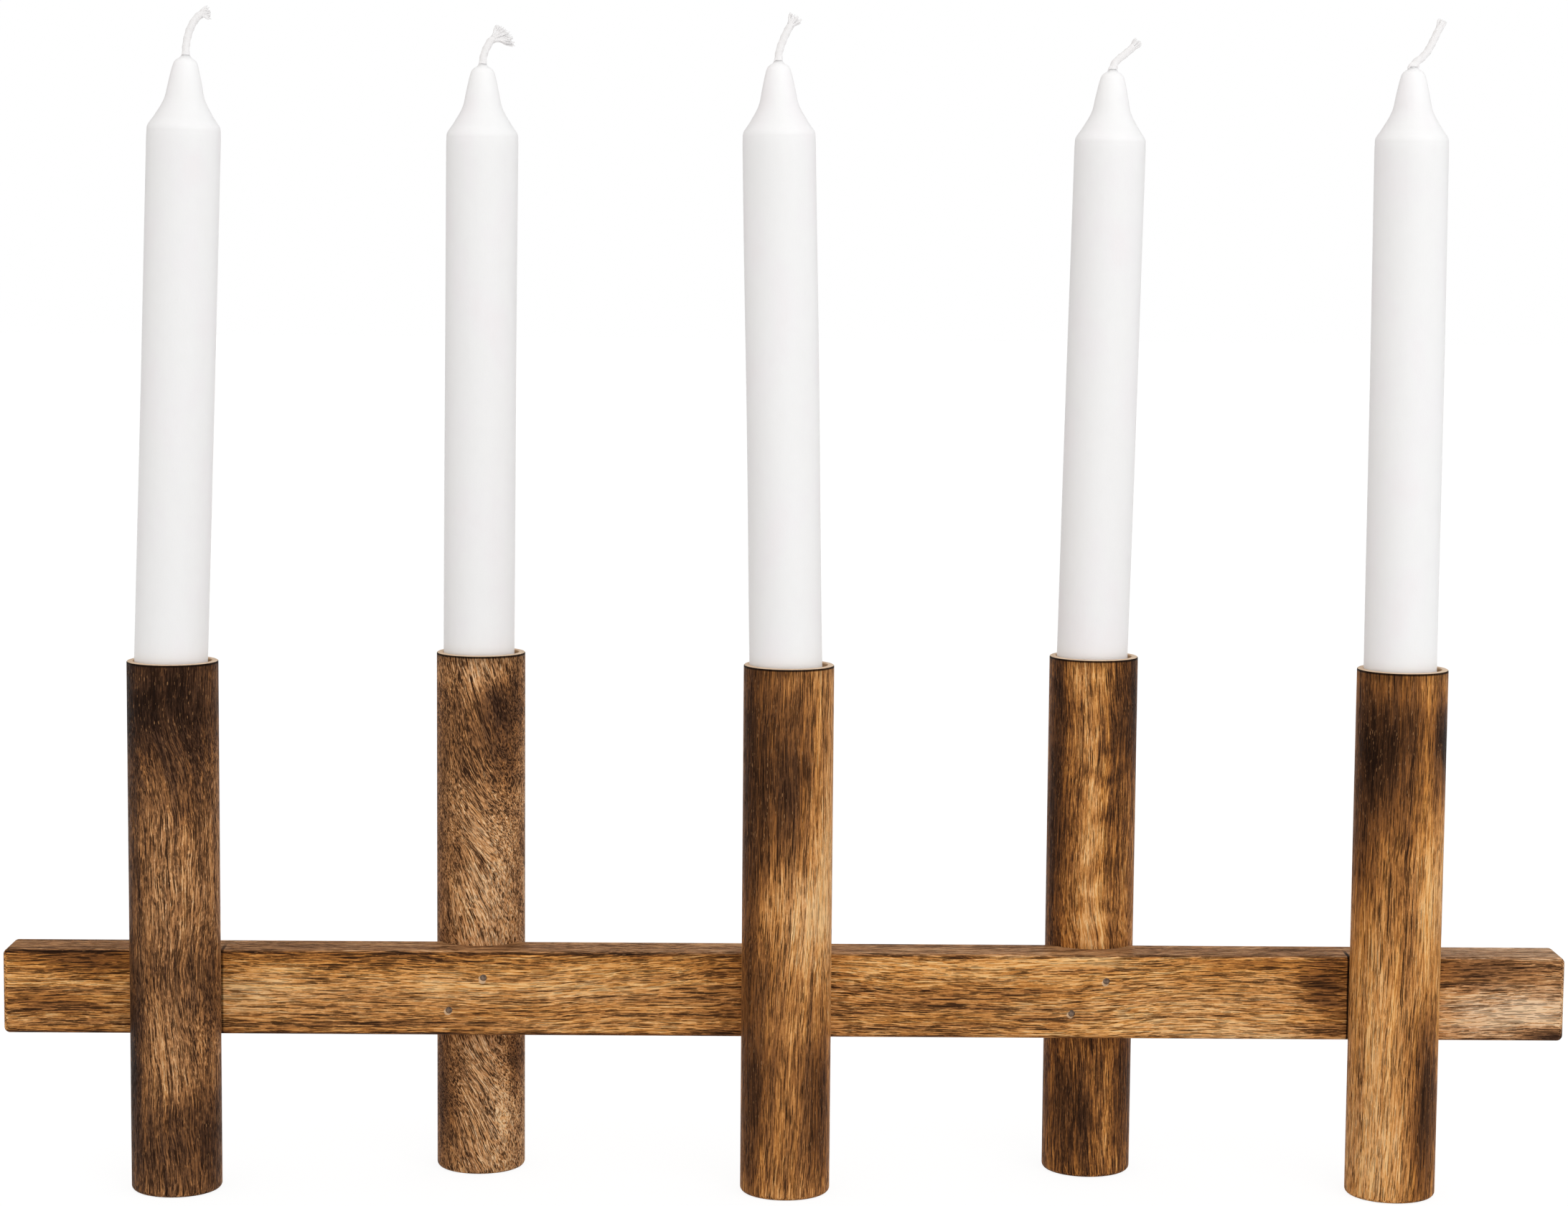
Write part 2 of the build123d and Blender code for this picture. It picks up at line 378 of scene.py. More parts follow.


# Each post: ground tone, share of gold, lean of its grain in degrees, how far the grain wavers and sways,
# how strong its streaks are, how wide, long and open its pores, how mottled it is and how strong its painted
# glints are, strength of the curl across its light ridge, and its spots as millimetres round from the front
# and up, reach both ways, and depth of tone. The dark spots at 14 to 17 mm round to the left are painted
# shade along each post's left flank
POST_TIMBERS = (
    dict(
        tone=0.69, gold=0.35, lean=3.0, waver=2.4, sway=14.0, streak=0.8,
        pore=0.8, run=10.0, open=1.35, mottle=1.0, curl=0.0,
        spots=(
            (0.0, 154.0, 30.0, 20.0, -0.5), (7.0, 125.0, 8.0, 16.0, -0.26), (-7.0, 146.0, 7.0, 22.0, -0.14),
            (9.0, 150.0, 8.0, 14.0, -0.12), (-15.0, 84.0, 6.5, 90.0, -0.36), (-6.0, 80.0, 5.0, 26.0, -0.1),
            (-1.0, 98.0, 7.0, 20.0, 0.14), (6.5, 82.0, 4.0, 22.0, -0.08), (15.0, 62.0, 6.0, 16.0, -0.24),
            (2.0, 68.0, 16.0, 8.0, -0.16), (3.0, 17.0, 24.0, 17.0, -0.37), (14.0, 20.0, 7.0, 26.0, -0.2),
            (-9.0, 38.0, 6.0, 10.0, -0.12), (-1.0, 48.0, 5.0, 13.0, 0.14), (3.0, 35.0, 4.0, 8.0, 0.12),
            (-15.0, 42.0, 6.0, 14.0, -0.26),
        ),
    ),
    dict(
        tone=0.9, gold=0.34, lean=22.0, waver=3.6, sway=24.0, streak=0.85,
        pore=0.8, run=8.0, open=1.56, mottle=1.1, curl=0.0,
        spots=(
            (6.4, 146.0, 6.0, 9.0, -0.5), (9.0, 129.0, 6.0, 12.0, -0.34), (-6.0, 149.0, 8.0, 6.0, -0.1),
            (0.0, 156.0, 5.0, 5.0, 0.14), (0.0, 134.0, 11.0, 14.0, -0.24), (1.4, 99.0, 1.0, 2.0, -0.6),
            (4.0, 88.0, 6.0, 16.0, 0.14), (6.6, 17.0, 5.0, 12.0, 0.16), (-9.0, 22.0, 6.0, 12.0, -0.2),
            (-3.0, 139.0, 7.0, 8.0, -0.14), (-15.0, 80.0, 7.0, 150.0, -0.28), (-7.0, 60.0, 4.0, 60.0, -0.12),
            (14.0, 36.0, 5.0, 10.0, -0.46), (15.0, 152.0, 6.0, 12.0, -0.44), (16.0, 95.0, 4.0, 40.0, -0.12),
            (-15.0, 20.0, 6.0, 20.0, -0.18),
        ),
    ),
    dict(
        tone=0.88, gold=0.75, lean=-2.0, waver=1.0, sway=6.0, streak=0.85,
        pore=0.74, run=16.0, open=1.22, mottle=0.6, curl=0.0,
        spots=(
            (-6.0, 150.0, 11.0, 22.0, -0.46), (-3.0, 120.0, 10.0, 20.0, -0.4), (4.0, 132.0, 6.0, 22.0, -0.24),
            (-15.0, 112.0, 7.0, 60.0, -0.56), (-14.0, 25.0, 6.5, 32.0, -0.42), (12.0, 28.0, 7.0, 26.0, -0.62),
            (-7.0, 44.0, 9.0, 34.0, -0.26), (0.0, 10.0, 14.0, 9.0, -0.14), (6.0, 86.0, 6.0, 18.0, 0.2),
            (14.0, 94.0, 5.0, 28.0, 0.26), (2.0, 147.0, 6.0, 10.0, 0.11), (2.0, 99.0, 6.0, 10.0, 0.12),
            (-7.0, 65.0, 4.0, 7.0, -0.16), (12.0, 64.0, 5.0, 7.0, -0.2), (4.0, 42.0, 8.0, 9.0, -0.12),
            (5.0, 65.0, 5.0, 6.0, -0.1), (-1.0, 26.0, 5.0, 9.0, -0.1),
        ),
    ),
    dict(
        tone=0.63, gold=0.85, lean=2.0, waver=1.6, sway=10.0, streak=0.85,
        pore=0.76, run=13.0, open=1.08, mottle=0.7, curl=0.13,
        spots=(
            (-1.0, 110.0, 4.5, 62.0, 0.3), (-15.0, 122.0, 6.0, 62.0, -0.44), (0.0, 80.0, 5.0, 11.0, 0.18),
            (-6.0, 156.0, 4.0, 8.0, 0.26), (5.2, 124.0, 3.8, 40.0, -0.24), (14.0, 148.0, 6.0, 22.0, -0.52),
            (-4.0, 22.0, 15.0, 24.0, -0.38), (5.0, 18.0, 3.0, 14.0, 0.36), (9.0, 84.0, 5.0, 12.0, 0.12),
            (14.0, 28.0, 5.0, 22.0, -0.26),
        ),
    ),
    dict(
        tone=0.9, gold=0.85, lean=-2.0, waver=0.8, sway=6.0, streak=0.75,
        pore=0.74, run=18.0, open=1.24, mottle=0.6, curl=0.0,
        spots=(
            (-6.0, 148.0, 15.0, 23.0, -0.58), (-6.0, 126.0, 12.0, 18.0, -0.3), (-0.5, 90.0, 4.5, 28.0, -0.22),
            (-17.0, 122.0, 8.0, 44.0, -0.42), (12.0, 26.0, 5.0, 28.0, -0.56), (6.5, 30.0, 4.0, 32.0, -0.46),
            (-7.0, 60.0, 5.0, 36.0, 0.1), (-3.0, 10.0, 8.0, 10.0, 0.12), (13.0, 98.0, 4.0, 16.0, 0.12),
            (17.0, 137.0, 6.0, 15.0, -0.46), (12.5, 142.0, 5.0, 15.0, -0.48), (-12.0, 99.0, 6.0, 13.0, -0.16),
            (-9.0, 20.0, 9.0, 22.0, 0.16), (6.0, 148.0, 4.0, 14.0, 0.1), (6.5, 82.0, 4.0, 22.0, 0.12),
        ),
    ),
)
# Curl across a post's light ridge: where it lies, its pitch in millimetres, its slant, and how sway and
# clouds bend it
CURL_SPOT = (1.0, 118.0, 8.0, 52.0, 1.0)
CURL_PITCH = 11.0
CURL_SLANT = 0.35
CURL_SWAY = 40.0
CURL_CLOUD = 34.0
CURL_LEVEL = 0.5
CURL_SPREAD = 1.6
# Between one post and the next where they were cut from the plank
PLANK_STEP = 37.0
# Noise over a post: rates for each millimetre across, in depth and up, and width, run and detail of its
# ragged fibre
POST_SWAY_RATES = (0.02, 0.02, 0.016)
POST_CLOUD_RATES = (0.07, 0.07, 0.05)
POST_RAGGED = (2.2, 14.0, 3.0)
# How far clouds and ragged fibre push a post's spots round and up, in millimetres
CLOUD_ROUND = 7.0
RAGGED_ROUND = 2.5
CLOUD_UP = 16.0
RAGGED_UP = 6.0
# What clouds add to the tone all round and behind, which is full at a share of the radius
CLOUD_TONE = 0.22
BEHIND_CLOUD_TONE = 0.7
BEHIND_SHARE = 0.7
# Painted highlight flecks where a post is smoked: pale specks that stand in for glints on the lacquer
PAINTED_HIGHLIGHT_SMOKE = (-0.12, -0.5)
PAINTED_HIGHLIGHT_COVER = 0.7
# Bands below a post's top, in millimetres where they start and where they are full, and how well they cover
RIM_BAND = (0.24, 0.08)
RIM_COVER = 0.9
BURN_BAND = (1.0, 0.6)
BURN_COVER = 0.92
SCORCH_BAND = (4.0, 1.2)
SCORCH_COVER = 0.3
# Bare timber in the socket: millimetres outside its radius where it starts and where it is full
SOCKET_EDGE = (0.45, 0.05)
SOCKET_COVER = 0.9


def near_top(look, up, band):
    """0 where a band below a post's top starts and 1 where it is full."""
    start, full = band
    return look.ease(up, POST_HEIGHT - start, POST_HEIGHT - full)


def post_timber(number):
    """The timber of one post, grown upright with its own lean, smoky spots and painted shade."""
    look = new_look(f"post_timber_{number}")
    timber = POST_TIMBERS[number - 1]
    place_across, place_depth = POST_PLACES[number - 1]
    x, y, up = look.millimetres()
    across = x - place_across
    depth = y - place_depth
    place = (across, depth, up)
    offset = PLANK_STEP * number
    sway = look.noise(place, POST_SWAY_RATES, 1.0, offset) - 0.5
    lean = math.radians(timber["lean"])
    grain = (
        across * math.cos(lean) + up * math.sin(lean) + sway * timber["sway"],
        depth + offset,
        up * math.cos(lean) - across * math.sin(lean),
    )
    cloud = look.noise(place, POST_CLOUD_RATES, 3.0, offset) - 0.5
    ragged = streaks(look, grain, *POST_RAGGED)
    around = look.math("ARCTAN2", across, -depth) * POST_RADIUS + cloud * CLOUD_ROUND + ragged * RAGGED_ROUND
    height = up + cloud * CLOUD_UP + ragged * RAGGED_UP
    behind = look.ease(depth, 0.0, BEHIND_SHARE * POST_RADIUS)
    # Dark spots: smoke, and painted shade along the left flank
    smoke_and_shade = smoked_and_shaded(look, around, height, timber["spots"])
    tone = smoke_and_shade + timber["tone"] + cloud * (CLOUD_TONE + BEHIND_CLOUD_TONE * behind)
    if timber["curl"]:
        curled = up + across * CURL_SLANT + sway * CURL_SWAY + cloud * CURL_CLOUD
        wave = look.math("SINE", curled * (FULL_TURN / CURL_PITCH))
        ridge = patch(look, around, height, CURL_SPOT)
        tone = tone + wave * (cloud * CURL_SPREAD + CURL_LEVEL) * ridge * (2 * timber["curl"])
    # Pale end grain at the top, with a painted sheen
    rim_and_sheen = near_top(look, up, RIM_BAND) * RIM_COVER
    burn = near_top(look, up, BURN_BAND) * BURN_COVER
    scorch = near_top(look, up, SCORCH_BAND) * (SCORCH_COVER + cloud)
    radius = look.math("SQRT", across * across + depth * depth)
    outside, inside = SOCKET_EDGE
    bore = look.ease(radius, SOCKET_RADIUS + outside, SOCKET_RADIUS + inside)
    socket = bore * look.ease(up, SOCKET_FLOOR - 1.0, SOCKET_FLOOR + 1.0) * SOCKET_COVER
    cover = ((scorch, PORE_COLOUR), (burn, BURN_COLOUR), (rim_and_sheen, RIM_AND_SHEEN_COLOUR), (socket, SOCKET_COLOUR))
    painted_highlight_flecks = look.ease(smoke_and_shade, *PAINTED_HIGHLIGHT_SMOKE) * PAINTED_HIGHLIGHT_COVER
    return lacquered(look, grain, timber, tone, timber["gold"], smoke_and_shade, painted_highlight_flecks, cover)


# The bar, as for a post; its spots are on the front face, as millimetres along and up. The dark spots at
# -18 and 169 mm along are painted shadow beside the middle and right front posts
BAR_TIMBER = dict(
    tone=0.9, gold=0.8, waver=1.0, streak=0.8, pore=0.74, run=14.0, open=1.46, mottle=0.6,
    spots=(
        (-211.0, 69.5, 16.0, 4.5, -0.5), (-228.0, 57.0, 16.0, 4.0, -0.28), (-145.0, 70.3, 34.0, 2.4, -0.26),
        (-160.0, 63.0, 15.0, 6.0, 0.24), (-95.0, 71.0, 40.0, 1.6, -0.16), (-140.0, 48.0, 34.0, 4.0, -0.24),
        (-70.0, 62.0, 40.0, 5.0, 0.12), (-60.0, 54.0, 60.0, 3.0, -0.14), (-18.0, 60.0, 10.0, 16.0, -0.22),
        (35.0, 56.0, 26.0, 7.0, -0.13), (60.0, 67.0, 36.0, 3.0, 0.1), (75.0, 60.0, 36.0, 3.0, -0.16),
        (90.0, 71.0, 20.0, 2.0, 0.34), (78.0, 51.0, 16.0, 5.0, -0.14), (118.0, 56.0, 34.0, 8.0, 0.14),
        (148.0, 70.5, 14.0, 2.5, -0.36), (169.0, 63.0, 7.0, 11.0, -0.5), (212.0, 68.0, 18.0, 5.0, -0.46),
        (222.0, 55.5, 20.0, 6.0, 0.42), (236.0, 47.5, 9.0, 2.5, -0.7), (234.0, 67.0, 7.0, 3.0, -0.14),
        (-217.0, 56.0, 16.0, 4.0, -0.2), (-219.0, 47.0, 22.0, 2.2, -0.28), (-36.0, 70.0, 15.0, 2.4, -0.22),
        (-111.0, 63.0, 17.0, 4.5, 0.18), (-40.0, 48.0, 16.0, 2.2, -0.16), (142.0, 48.0, 18.0, 2.4, 0.28),
        (146.0, 66.0, 9.0, 2.5, 0.14), (52.0, 51.0, 14.0, 4.0, -0.12), (-168.0, 57.0, 12.0, 5.0, 0.14),
        (232.0, 57.0, 8.0, 5.0, 0.14), (-232.0, 71.0, 12.0, 2.5, -0.18),
    ),
)
# Brad holes, as millimetres along, up and the side that they open on
BRAD_HOLES = (
    (-93.16, 64.6, -1), (-103.76, 54.4, -1), (98.83, 64.6, -1), (88.23, 54.4, -1),
    (-192.1, 64.6, 1), (-181.5, 54.4, 1), (-5.3, 64.6, 1), (5.3, 54.4, 1), (181.5, 64.6, 1), (192.1, 54.4, 1),
)
CHIP_AND_HIGHLIGHT_COLOUR = paint(222, 190, 154)
# Chipped rims of the holes, shifted to the lower left where a painted highlight stands for the light on each
# hole's lower side: how far they are shifted along and up, and where they end and are full
CHIP_SHIFT = (0.36, 0.42)
CHIP_BAND = (1.2, 0.95)
CHIP_CLOUD = 0.8
CHIP_RAGGED = 1.5
CHIP_FACE = (1.5, 0.5)
CHIP_COVER = 0.7
# Dark seams where the bar meets a front post, a glue line with painted contact shadow, as millimetres along
# and strength
GLUE_AND_SHADOW_SEAMS = ((-173.6, 0.75), (173.7, 0.95))
SEAM_WIDTH = 0.7
SEAM_CORE = 0.4
SEAM_CLOUD = 0.5
# Noise over the bar: rates for each millimetre along, in depth and up, and width, run and detail of its
# ragged fibre
BAR_SWAY_RATES = (0.011, 0.02, 0.02)
BAR_CLOUD_RATES = (0.03, 0.06, 0.08)
BAR_RAGGED = (1.8, 16.0, 3.0)
# How far its grain sways, and how far clouds and ragged fibre push its spots, in millimetres
BAR_SWAY_UP = 9.0
BAR_SWAY_DEPTH = 6.0
BAR_CLOUD_ALONG = 22.0
BAR_RAGGED_ALONG = 10.0
BAR_CLOUD_UP = 3.0
BAR_RAGGED_UP = 2.4
# What clouds add to its tone, how much less of it in front, and the depths from back to front
BAR_CLOUD_TONE = 0.55
FRONT_CLOUD_LOSS = 0.3
FRONT_TURN = (5.0, -5.0)
# Its edges and top: millimetres inside the face where they start and where they are full
BAR_TOP = BAR_MID_HEIGHT + BAR_HALF_HEIGHT
EDGE_BAND_UP = (1.5, 0.6)
EDGE_BAND_OUT = (1.4, 0.5)
TOP_BAND = (0.7, 0.2)
TOP_SMOKE_LOSS = 0.8
# Painted highlight flecks along its edges
EDGE_PAINTED_HIGHLIGHTS = 0.5
# Wear of its edges: all along, more towards the left, and ragged
EDGE_WEAR = 0.06
LEFT_WEAR = 0.36
LEFT_WEAR_RUN = (10.0, -60.0)
RAGGED_WEAR = 1.6
# Painted shade makes its top darker, and a painted sheen makes it paler towards the right end
PAINTED_TOP_SHADE = 0.10
PAINTED_RIGHT_TOP_SHEEN = 0.24
PAINTED_TOP_SHEEN_RUN = (150.0, 222.0)
# Gold is deeper in the upper half and goes to grey at the right end, and on the top, where the grey is a
# painted sheen
UPPER_GOLD = 0.2
UPPER_RUN = (58.0, 69.0)
RIGHT_GREY = 0.6
RIGHT_GREY_RUN = (192.0, 215.0)
PAINTED_TOP_SHEEN_GREY = 0.7


def near_face(look, distance, face, band):
    """0 where a band inside a face of the bar starts and 1 where it is full."""
    start, full = band
    return look.ease(distance, face - start, face - full)


def chipped_and_lit_rims(look, place, cloud, ragged):
    """Pale chipped rims round the brad holes, shifted to the lower left as a painted highlight."""
    along, depth, up = place
    shift_along, shift_up = CHIP_SHIFT
    chips_and_highlight = None
    for hole_along, hole_up, side in BRAD_HOLES:
        away_along = along - hole_along + shift_along
        away_up = up - hole_up + shift_up
        away = look.math("SQRT", away_along * away_along + away_up * away_up)
        ring = look.ease(away + cloud * CHIP_CLOUD + ragged * CHIP_RAGGED, *CHIP_BAND)
        ring = ring * near_face(look, depth * side, BAR_HALF_DEPTH, CHIP_FACE)
        chips_and_highlight = ring if chips_and_highlight is None else look.math("MAXIMUM", chips_and_highlight, ring)
    return chips_and_highlight * CHIP_COVER


def bar_timber():
    """The timber of the cross bar, its grain along the bar."""
    look = new_look("bar_timber")
    place = look.millimetres()
    along, depth, up = place
    sway = look.noise(place, BAR_SWAY_RATES, 1.0) - 0.5
    grain = (up + sway * BAR_SWAY_UP, depth + sway * BAR_SWAY_DEPTH, along)
    cloud = look.noise(place, BAR_CLOUD_RATES, 3.0) - 0.5
    ragged = streaks(look, grain, *BAR_RAGGED)
    run = along + cloud * BAR_CLOUD_ALONG + ragged * BAR_RAGGED_ALONG
    height = up + cloud * BAR_CLOUD_UP + ragged * BAR_RAGGED_UP
    front = look.ease(depth, *FRONT_TURN)
    # Dark spots: smoke, and painted shadow beside two front posts
    smoke_and_shade = smoked_and_shaded(look, run, height, BAR_TIMBER["spots"])
    away_up = look.math("ABSOLUTE", up - BAR_MID_HEIGHT)
    away_out = look.math("ABSOLUTE", depth)
    high = near_face(look, away_up, BAR_HALF_HEIGHT, EDGE_BAND_UP)
    edge = high * near_face(look, away_out, BAR_HALF_DEPTH, EDGE_BAND_OUT)
    top = near_face(look, up, BAR_TOP, TOP_BAND)
    worn = edge * (EDGE_WEAR + LEFT_WEAR * look.ease(along, *LEFT_WEAR_RUN) + RAGGED_WEAR * ragged)
    smoke_and_shade = smoke_and_shade * front * (1.0 - top * TOP_SMOKE_LOSS)
    # Painted shade on the top, and a painted sheen towards its right end
    painted_top_shade_and_sheen = top * (PAINTED_TOP_SHADE - PAINTED_RIGHT_TOP_SHEEN * look.ease(along, *PAINTED_TOP_SHEEN_RUN))
    tone = smoke_and_shade + BAR_TIMBER["tone"] + cloud * (BAR_CLOUD_TONE - FRONT_CLOUD_LOSS * front) - worn - painted_top_shade_and_sheen
    chips_and_highlight = chipped_and_lit_rims(look, place, cloud, ragged)
    # Glue lines and painted contact shadow where the bar meets the front posts
    glue_and_shadow_seam = 0.0
    for seam_along, strength in GLUE_AND_SHADOW_SEAMS:
        away = look.math("ABSOLUTE", along - seam_along + cloud * SEAM_CLOUD)
        glue_and_shadow_seam = look.ease(away, SEAM_WIDTH, SEAM_CORE * SEAM_WIDTH) * strength * front + glue_and_shadow_seam
    cover = ((chips_and_highlight, CHIP_AND_HIGHLIGHT_COLOUR), (glue_and_shadow_seam, BURN_COLOUR))
    painted_highlight_flecks = edge * EDGE_PAINTED_HIGHLIGHTS
    grey = look.ease(along, *RIGHT_GREY_RUN) * RIGHT_GREY
    gold = BAR_TIMBER["gold"] + look.ease(up, *UPPER_RUN) * UPPER_GOLD - grey - top * PAINTED_TOP_SHEEN_GREY
    return lacquered(look, grain, BAR_TIMBER, tone, gold, smoke_and_shade, painted_highlight_flecks, cover)


# Steel, wax and cotton: tones, rates of their noise for each millimetre of X, Y and Z, and how high their
# relief is
STEEL_TONES = ((0.3, (78, 58, 44)), (0.75, (150, 126, 104)))
STAIN_RATES = (1.3, 1.3, 1.3)
DRAWN_RATES = (9.0, 0.7, 9.0)
DRAWN_RELIEF = 0.05 * MM
WAX_TONES = ((0.3, (246, 243, 244)), (0.7, (250, 248, 249)))
WAX_CLOUD_RATES = (0.09, 0.09, 0.05)
WAX_GRAIN_RATES = (1.6, 1.6, 1.1)
SCUFF_RATES = (0.28, 0.28, 0.9)
WAX_RELIEF = 0.12 * MM
WAX_DEPTH = 4 * MM
COTTON_TONES = ((0.28, (240, 238, 238)), (0.6, (251, 250, 250)))
COTTON_FIBRE_RATES = (7.0, 7.0, 3.0)
COTTON_SOIL_RATES = (0.8, 0.8, 0.8)
COTTON_RELIEF = 0.12 * MM


def brad_steel():
    """Drawn steel, dulled by the lacquer that ran into the hole."""
    look = new_look("brad_steel")
    place = look.millimetres()
    stain = look.noise(place, STAIN_RATES, 3.0)
    drawn = look.noise(place, DRAWN_RATES, 2.0)
    sockets = {
        "Base Color": look.ramp(stain, tone_stops(STEEL_TONES)),
        "Metallic": look.ease(stain, 0.45, 0.7) * 0.3 + 0.05,
        "Roughness": 0.38 + drawn * 0.3,
    }
    return look.surface(drawn, DRAWN_RELIEF, 0.3, sockets)


def candle_wax():
    """White moulded wax: satin, faintly cloudy, with fine handling marks."""
    look = new_look("candle_wax")
    place = look.millimetres()
    cloud = look.noise(place, WAX_CLOUD_RATES, 3.0)
    grain = look.noise(place, WAX_GRAIN_RATES, 3.0)
    scuff, own = look.cells(place, SCUFF_RATES)
    marks = look.ease(scuff, 0.10, 0.04) * look.ease(own, 0.6, 0.8)
    sockets = {
        "Base Color": look.ramp(cloud, tone_stops(WAX_TONES)),
        "Roughness": 0.46 + grain * 0.14 - marks * 0.12,
        "Specular IOR Level": 0.4,
        "Subsurface Weight": 1.0,
        "Subsurface Radius": (1.0, 1.0, 1.0),
        "Subsurface Scale": WAX_DEPTH,
    }
    return look.surface(grain * 0.6 + cloud + marks * 0.5, WAX_RELIEF, 0.25, sockets)


def wick_cotton():
    """Bleached cotton yarn, fibrous and dry."""
    look = new_look("wick_cotton")
    place = look.millimetres()
    fibre = look.noise(place, COTTON_FIBRE_RATES, 3.0)
    soil = look.noise(place, COTTON_SOIL_RATES, 2.0)
    colour = look.ramp(fibre * 0.7 + soil * 0.3, tone_stops(COTTON_TONES))
    sockets = {"Base Color": colour, "Roughness": 0.85 + fibre * 0.1, "Sheen Weight": 0.3}
    return look.surface(fibre, COTTON_RELIEF, 0.6, sockets)


def dress(node, material):
    """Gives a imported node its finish."""
    slots = frame["nodes"][node].data.materials
    slots.clear()
    slots.append(material)


def mesh_piece(name, points, faces, material, body, stands_for):
    """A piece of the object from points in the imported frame."""
    mesh = bpy.data.meshes.new(name)
    mesh.from_pydata([tuple(point) for point in points], [], faces)
    mesh.validate()
    mesh.polygons.foreach_set("use_smooth", [True] * len(mesh.polygons))
    mesh.materials.append(material)
    piece = bpy.data.objects.new(name, mesh)
    bpy.context.scene.collection.objects.link(piece)
    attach(piece, body)
    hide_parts(stands_for)
    return piece


# Points of a packed candle within this height of the lowest one lie in its base
BASE_TOLERANCE = 0.01 * MM


def candle_seat(number):
    """From a candle's own millimetres, base at the origin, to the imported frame."""
    joint = next(j for j in frame["joints"] if j["child"] == f"candle_body_{number}")
    axis = Vector(joint["axis"]).normalized()
    points = [vertex.co for vertex in frame["nodes"][f"candle_{number}"].data.vertices]
    lowest = min(point.dot(axis) for point in points)
    base = [point for point in points if point.dot(axis) < lowest + BASE_TOLERANCE]
    centre = sum(base, Vector()) / len(base)
    lean = Vector((0, 0, 1)).rotation_difference(axis).to_matrix().to_4x4()
    return Matrix.Translation(centre) @ lean @ Matrix.Scale(MM, 4)


# Candle: radius and height of its outline in millimetres, base to tip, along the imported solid
CANDLE_BASE_FLAT = 10.4
CANDLE_BASE_ROUNDING = 0.6
CANDLE_CAP_RADIUS = 6.0
CANDLE_SIDE_TOP = 175.6
CANDLE_NECK = (3.78, 197.6)
FLANK_POINTS = ((10.94, 177.7), (10.70, 179.8), (8.81, 182.66), (6.109, 187.556), (4.941, 192.656))
TIP_POINTS = ((3.32, 198.8), (2.55, 199.6), (1.78, 200.05), (1.2, 200.9))
# Slopes where the flank and the tip start and end
FLANK_SLOPES = ((0.0, 2.1), (-1.5, 4.5))
TIP_SLOPES = ((-0.3, 1.3), (-0.1, 0.5))
BASE_STEPS = 4
SIDE_RINGS = 26
FLANK_STEPS = 7
TIP_STEPS = 4
CANDLE_SIDES = 112
# Cast wax is uneven: waves round a candle, their size in millimetres, lobes and turn for each millimetre up
CANDLE_SEED = 100
SWELL_WAVES = 4
SWELL_SIZES = (0.02, 0.05)
SWELL_LOBES = (2, 3)
SWELL_PITCHES = (0.02, 0.05)
# The waves die out from the full radius to this one at the tip
EVEN_RADIUS = 2.0


def smooth_run(points, start_slope, end_slope, steps):
    """Points along a smooth line through the given ones, without the first."""
    slopes = [start_slope]
    slopes += [(after - before) / 2 for before, after in zip(points, points[2:])]
    slopes += [end_slope]
    run = []
    for index in range(len(points) - 1):
        first, last = points[index], points[index + 1]
        for step in range(1, steps + 1):
            t = step / steps
            run.append(
                (2 * t**3 - 3 * t**2 + 1) * first
                + (t**3 - 2 * t**2 + t) * slopes[index]
                + (3 * t**2 - 2 * t**3) * last
                + (t**3 - t**2) * slopes[index + 1]
            )
    return run


def candle_outline():
    """Radius and height of a candle's outline, from the rim of its base cap to the wax round its wick."""
    rounding = CANDLE_BASE_ROUNDING
    outline = [Vector((CANDLE_CAP_RADIUS, 0.0)), Vector((CANDLE_BASE_FLAT, 0.0))]
    for step in range(1, BASE_STEPS + 1):
        turn = step / BASE_STEPS * math.pi / 2
        out = CANDLE_BASE_FLAT + rounding * math.sin(turn)
        outline.append(Vector((out, rounding - rounding * math.cos(turn))))
    for step in range(1, SIDE_RINGS + 1):
        height = rounding + (CANDLE_SIDE_TOP - rounding) * step / SIDE_RINGS
        outline.append(Vector((CANDLE_RADIUS, height)))
    flank = [outline[-1], *(Vector(point) for point in FLANK_POINTS), Vector(CANDLE_NECK)]
    outline += smooth_run(flank, *(Vector(slope) for slope in FLANK_SLOPES), FLANK_STEPS)
    tip = [Vector(point) for point in (CANDLE_NECK, *TIP_POINTS)]
    outline += smooth_run(tip, *(Vector(slope) for slope in TIP_SLOPES), TIP_STEPS)
    return outline


